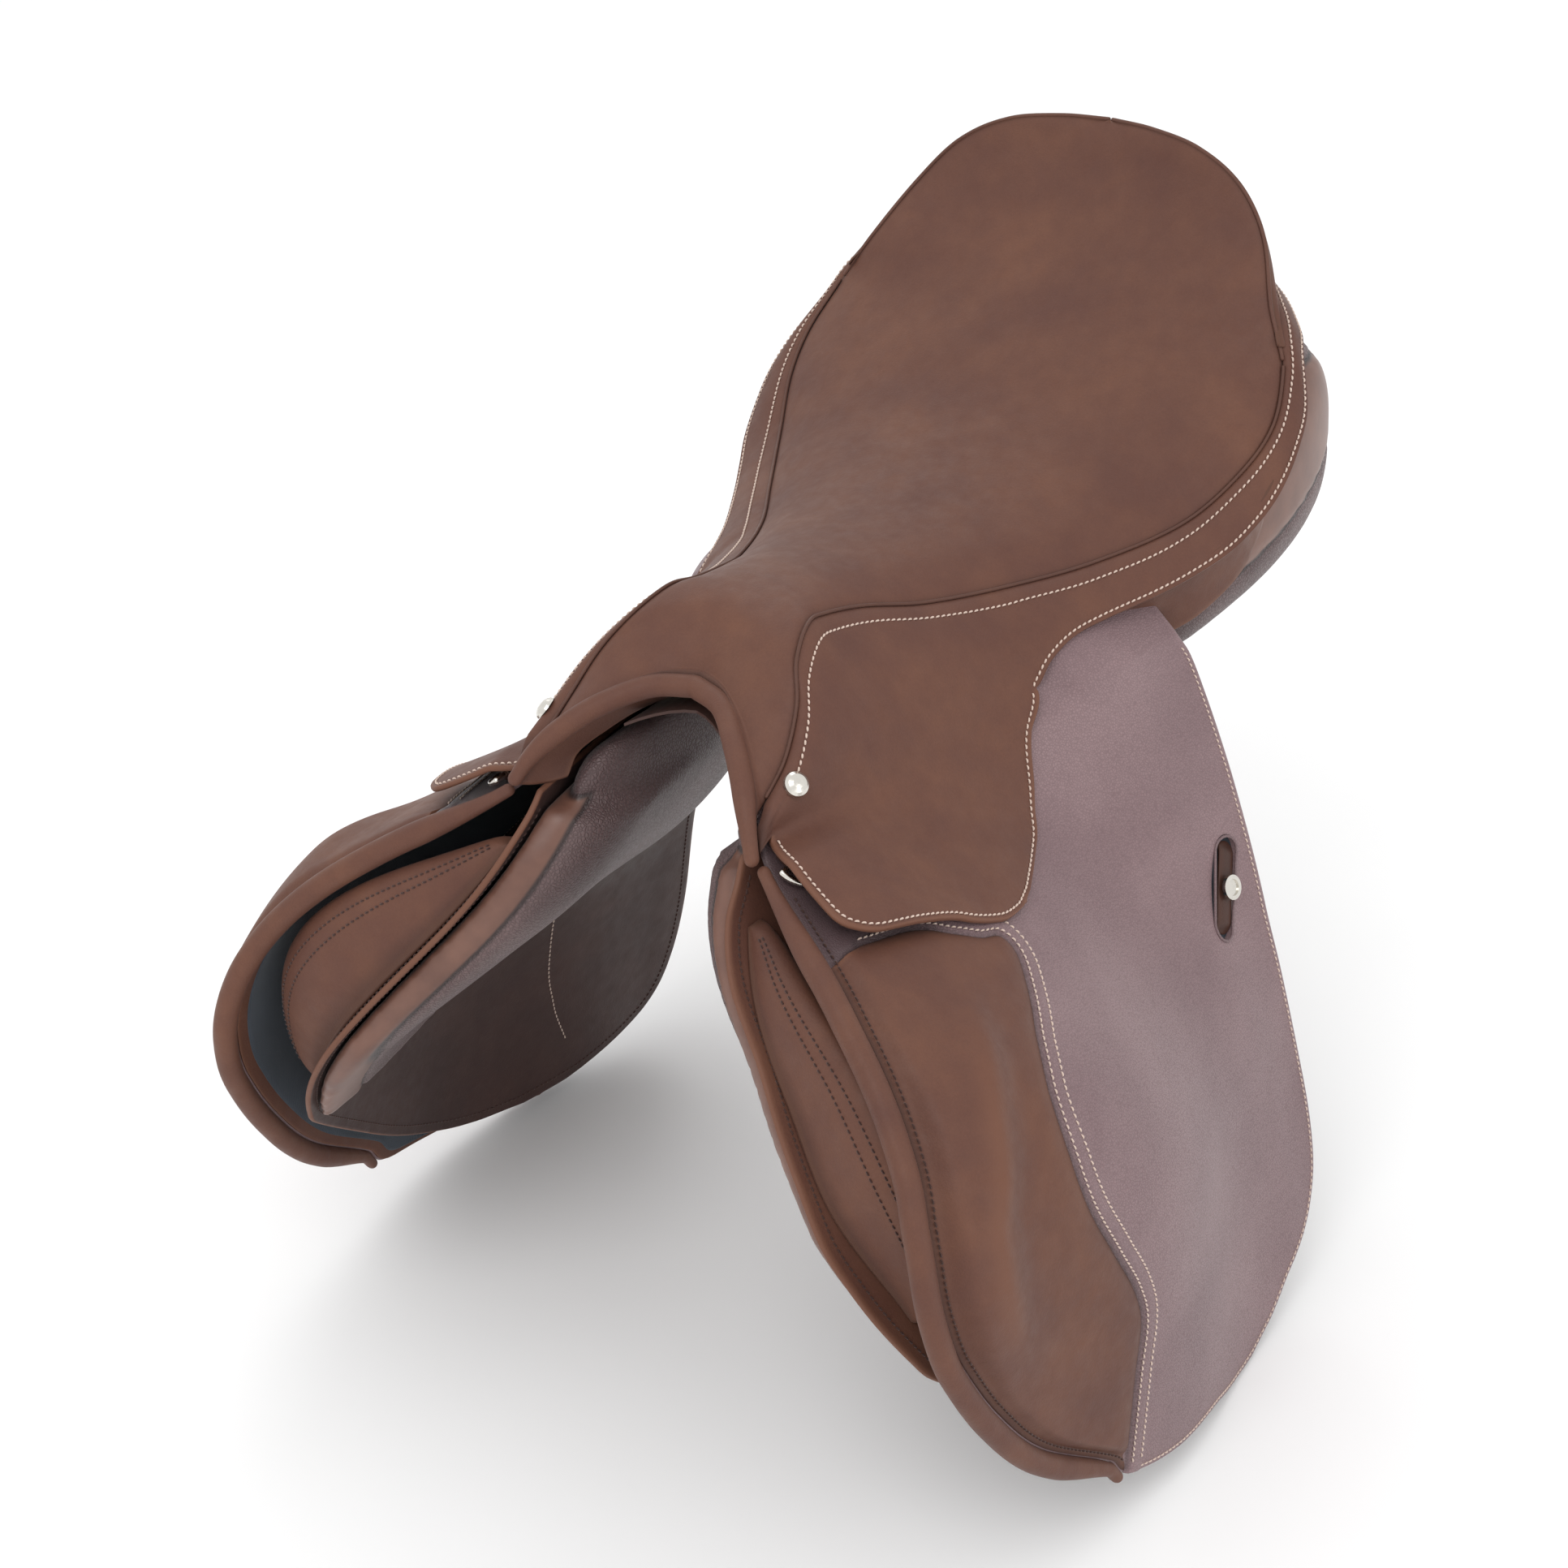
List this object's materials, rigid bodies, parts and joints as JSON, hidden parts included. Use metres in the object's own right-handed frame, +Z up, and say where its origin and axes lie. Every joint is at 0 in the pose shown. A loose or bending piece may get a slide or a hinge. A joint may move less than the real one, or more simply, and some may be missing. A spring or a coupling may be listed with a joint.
{
  "type": "english saddle",
  "caption": "Leather close-contact riding saddle with a deep seat, padded forward flaps that lift on their top fold, knee blocks, stuffed panels, stirrup bars and girth billets.",
  "frame": {"origin": "On the centre line, at the height where the two cushions rest on a rack, under the middle of the saddle.", "axes": "+X to the near (left) side, +Y to the rear, +Z up."},
  "size_m": [0.479, 0.5792, 0.5246],
  "materials": {
    "smooth_leather": "satin",
    "grain_leather": "satin",
    "panel_leather": "satin",
    "sweat_leather": "satin",
    "strap_leather": "satin",
    "welt_leather": "satin",
    "lining": "matte",
    "foam": "matte",
    "webbing": "matte",
    "tree_wood": "satin",
    "tree_steel": "satin",
    "bright_steel": "polished"
  },
  "bodies": {
    "saddle": {"tree_frame": "tree_wood", "head_plate": "tree_steel", "gullet_plate": "tree_steel", "tree_spring_near": "tree_steel", "tree_spring_off": "tree_steel", "seat_webbing": "webbing", "seat_foam": "foam", "seat_cover": "smooth_leather", "seat_welt_near": "welt_leather", "seat_welt_off": "welt_leather", "skirt_strip_near": "smooth_leather", "skirt_strip_off": "smooth_leather", "cantle_facing": "smooth_leather", "arch_roll": "smooth_leather", "head_nails": "bright_steel", "flap_head_near": "grain_leather", "flap_head_off": "grain_leather", "sweat_flap_near": "sweat_leather", "sweat_flap_off": "sweat_leather", "knee_block_near": "smooth_leather", "knee_block_off": "smooth_leather", "thigh_block_near": "smooth_leather", "thigh_block_off": "smooth_leather", "panel_near": "panel_leather", "panel_off": "panel_leather", "gullet_lining": "lining", "stirrup_bar_near": "bright_steel", "stirrup_bar_off": "bright_steel", "bar_rivets": "bright_steel", "catch_pins": "bright_steel"},
    "near_flap": {"flap_near": "grain_leather", "flap_lining_near": "lining", "knee_pad_near": "smooth_leather", "flap_roll_near": "smooth_leather", "keeper_strap_near": "strap_leather", "keeper_snap_near": "bright_steel", "dee_chape_near": "strap_leather"},
    "off_flap": {"flap_off": "grain_leather", "flap_lining_off": "lining", "knee_pad_off": "smooth_leather", "flap_roll_off": "smooth_leather", "keeper_strap_off": "strap_leather", "keeper_snap_off": "bright_steel", "dee_chape_off": "strap_leather"},
    "near_skirt": {"skirt_near": "smooth_leather"},
    "off_skirt": {"skirt_off": "smooth_leather"},
    "near_catch": {"bar_catch_near": "bright_steel"},
    "off_catch": {"bar_catch_off": "bright_steel"},
    "near_dee": {"front_dee_near": "bright_steel"},
    "off_dee": {"front_dee_off": "bright_steel"},
    "near_front_billet": {"billet_near_front": "strap_leather"},
    "near_middle_billet": {"billet_near_middle": "strap_leather"},
    "near_rear_billet": {"billet_near_rear": "strap_leather"},
    "off_front_billet": {"billet_off_front": "strap_leather"},
    "off_middle_billet": {"billet_off_middle": "strap_leather"},
    "off_rear_billet": {"billet_off_rear": "strap_leather"}
  },
  "joints": [
    {"name": "near_flap_lift", "type": "hinge", "parent": "saddle", "child": "near_flap", "pos_m": [0.0682, -0.1916, 0.0415], "axis": [-0.1865, -0.9824, -0.0129], "range_deg": [0, 55]},
    {"name": "off_flap_lift", "type": "hinge", "parent": "saddle", "child": "off_flap", "pos_m": [-0.0682, -0.1916, 0.0415], "axis": [-0.1865, 0.9824, 0.0129], "range_deg": [0, 55]},
    {"name": "near_skirt_lift", "type": "hinge", "parent": "near_flap", "child": "near_skirt", "pos_m": [0.0682, -0.1916, 0.0415], "axis": [-0.1865, -0.9824, -0.0129], "range_deg": [0, 30]},
    {"name": "off_skirt_lift", "type": "hinge", "parent": "off_flap", "child": "off_skirt", "pos_m": [-0.0682, -0.1916, 0.0415], "axis": [-0.1865, 0.9824, 0.0129], "range_deg": [0, 30]},
    {"name": "near_front_billet_swing", "type": "hinge", "parent": "saddle", "child": "near_front_billet", "pos_m": [0.07962, -0.098, 0.02643], "axis": [0.8398, 0, 0.5428], "range_deg": [-1.5, 1.5]},
    {"name": "off_front_billet_swing", "type": "hinge", "parent": "saddle", "child": "off_front_billet", "pos_m": [-0.07962, -0.098, 0.02643], "axis": [-0.8398, 0, 0.5428], "range_deg": [-1.5, 1.5]},
    {"name": "near_middle_billet_swing", "type": "hinge", "parent": "saddle", "child": "near_middle_billet", "pos_m": [0.08473, -0.056, 0.02724], "axis": [0.8259, 0, 0.5639], "range_deg": [-1.5, 1.5]},
    {"name": "off_middle_billet_swing", "type": "hinge", "parent": "saddle", "child": "off_middle_billet", "pos_m": [-0.08473, -0.056, 0.02724], "axis": [-0.8259, 0, 0.5639], "range_deg": [-1.5, 1.5]},
    {"name": "near_rear_billet_swing", "type": "hinge", "parent": "saddle", "child": "near_rear_billet", "pos_m": [0.0968, -0.014, 0.02794], "axis": [0.8547, 0, 0.5192], "range_deg": [-1.5, 1.5]},
    {"name": "off_rear_billet_swing", "type": "hinge", "parent": "saddle", "child": "off_rear_billet", "pos_m": [-0.0968, -0.014, 0.02794], "axis": [-0.8547, 0, 0.5192], "range_deg": [-1.5, 1.5]},
    {"name": "near_catch_turn", "type": "hinge", "parent": "saddle", "child": "near_catch", "pos_m": [0.054, -0.066, 0.057], "axis": [1, 0, 0], "range_deg": [0, 80]},
    {"name": "off_catch_turn", "type": "hinge", "parent": "saddle", "child": "off_catch", "pos_m": [-0.054, -0.066, 0.057], "axis": [1, 0, 0], "range_deg": [0, 80]},
    {"name": "near_dee_swing", "type": "hinge", "parent": "near_flap", "child": "near_dee", "pos_m": [0.08042, -0.18734, 0.03232], "axis": [0, -1, 0], "range_deg": [0, 12]},
    {"name": "off_dee_swing", "type": "hinge", "parent": "off_flap", "child": "off_dee", "pos_m": [-0.08042, -0.18734, 0.03232], "axis": [0, 1, 0], "range_deg": [0, 12]}
  ]
}
